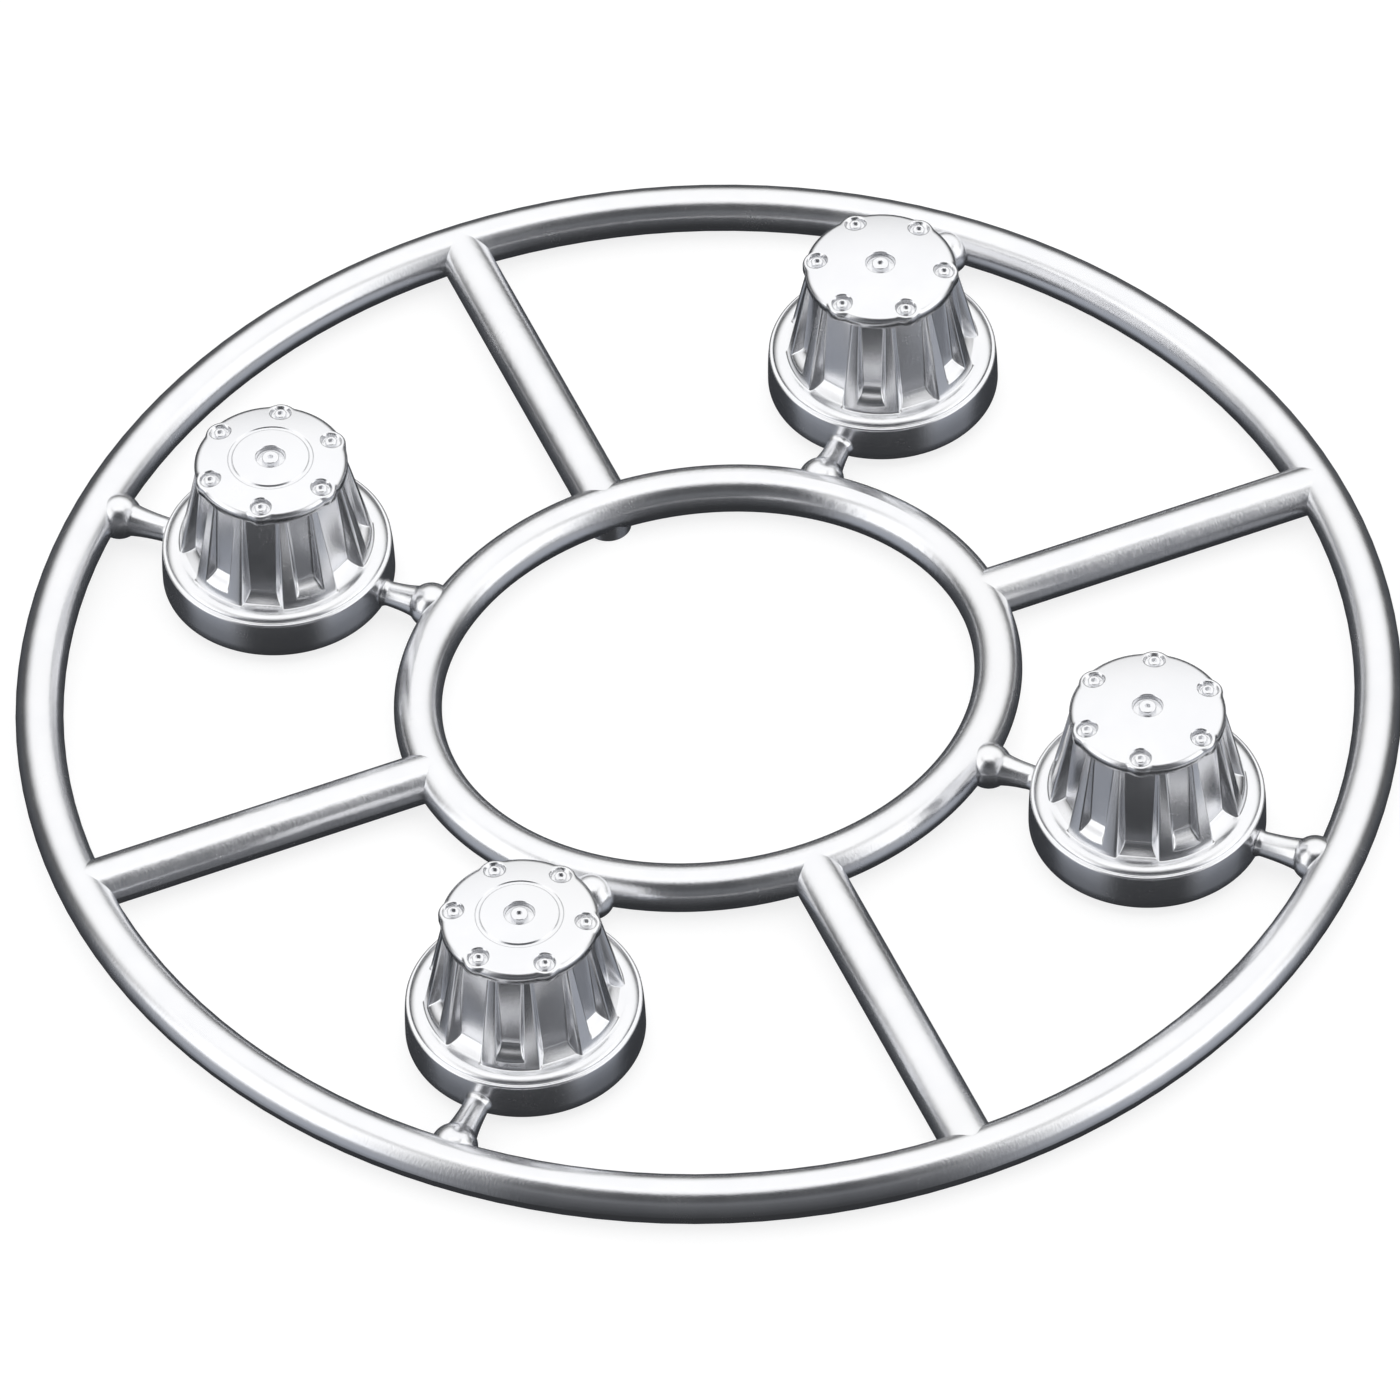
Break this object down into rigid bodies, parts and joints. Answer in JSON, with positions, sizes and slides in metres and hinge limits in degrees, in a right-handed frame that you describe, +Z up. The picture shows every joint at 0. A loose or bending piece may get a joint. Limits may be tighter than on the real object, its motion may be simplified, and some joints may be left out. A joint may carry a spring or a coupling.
{
  "type": "moulded parts tree with hub covers",
  "caption": "Chrome-plated moulded parts tree: outer and inner runner rings joined by spokes, carrying ribbed wheel hub covers with moulded screw heads on thin gates.",
  "frame": {"origin": "on the tree's axis, in the plane that the rings rest on", "axes": "+Z up out of the covers' faces, +X along spoke 1, +Y along spoke 2"},
  "size_m": [0.1036, 0.1036, 0.0134],
  "materials": {
    "runner_chrome": "satin plating over plastic",
    "cover_chrome": "satin plating over plastic"
  },
  "bodies": {
    "tree": {"outer_ring": "runner_chrome", "inner_ring": "runner_chrome", "sprue_stub": "runner_chrome", "spoke_1": "runner_chrome", "outer_boss_1": "runner_chrome", "inner_boss_1": "runner_chrome", "outer_gate_1": "runner_chrome", "inner_gate_1": "runner_chrome", "spoke_2": "runner_chrome", "outer_boss_2": "runner_chrome", "inner_boss_2": "runner_chrome", "outer_gate_2": "runner_chrome", "inner_gate_2": "runner_chrome", "spoke_3": "runner_chrome", "outer_boss_3": "runner_chrome", "inner_boss_3": "runner_chrome", "outer_gate_3": "runner_chrome", "inner_gate_3": "runner_chrome", "spoke_4": "runner_chrome", "outer_boss_4": "runner_chrome", "inner_boss_4": "runner_chrome", "outer_gate_4": "runner_chrome", "inner_gate_4": "runner_chrome"},
    "cover_1": {"hub_cover_1": "cover_chrome", "face_screw_heads_1": "cover_chrome", "centre_screw_head_1": "cover_chrome"},
    "cover_2": {"hub_cover_2": "cover_chrome", "face_screw_heads_2": "cover_chrome", "centre_screw_head_2": "cover_chrome"},
    "cover_3": {"hub_cover_3": "cover_chrome", "face_screw_heads_3": "cover_chrome", "centre_screw_head_3": "cover_chrome"},
    "cover_4": {"hub_cover_4": "cover_chrome", "face_screw_heads_4": "cover_chrome", "centre_screw_head_4": "cover_chrome"}
  },
  "joints": [
    {"name": "cover_1_lift", "type": "slide", "parent": "tree", "child": "cover_1", "axis": [0, 0, 1], "range_m": [0, 0.02]},
    {"name": "cover_2_lift", "type": "slide", "parent": "tree", "child": "cover_2", "axis": [0, 0, 1], "range_m": [0, 0.02]},
    {"name": "cover_3_lift", "type": "slide", "parent": "tree", "child": "cover_3", "axis": [0, 0, 1], "range_m": [0, 0.02]},
    {"name": "cover_4_lift", "type": "slide", "parent": "tree", "child": "cover_4", "axis": [0, 0, 1], "range_m": [0, 0.02]}
  ]
}
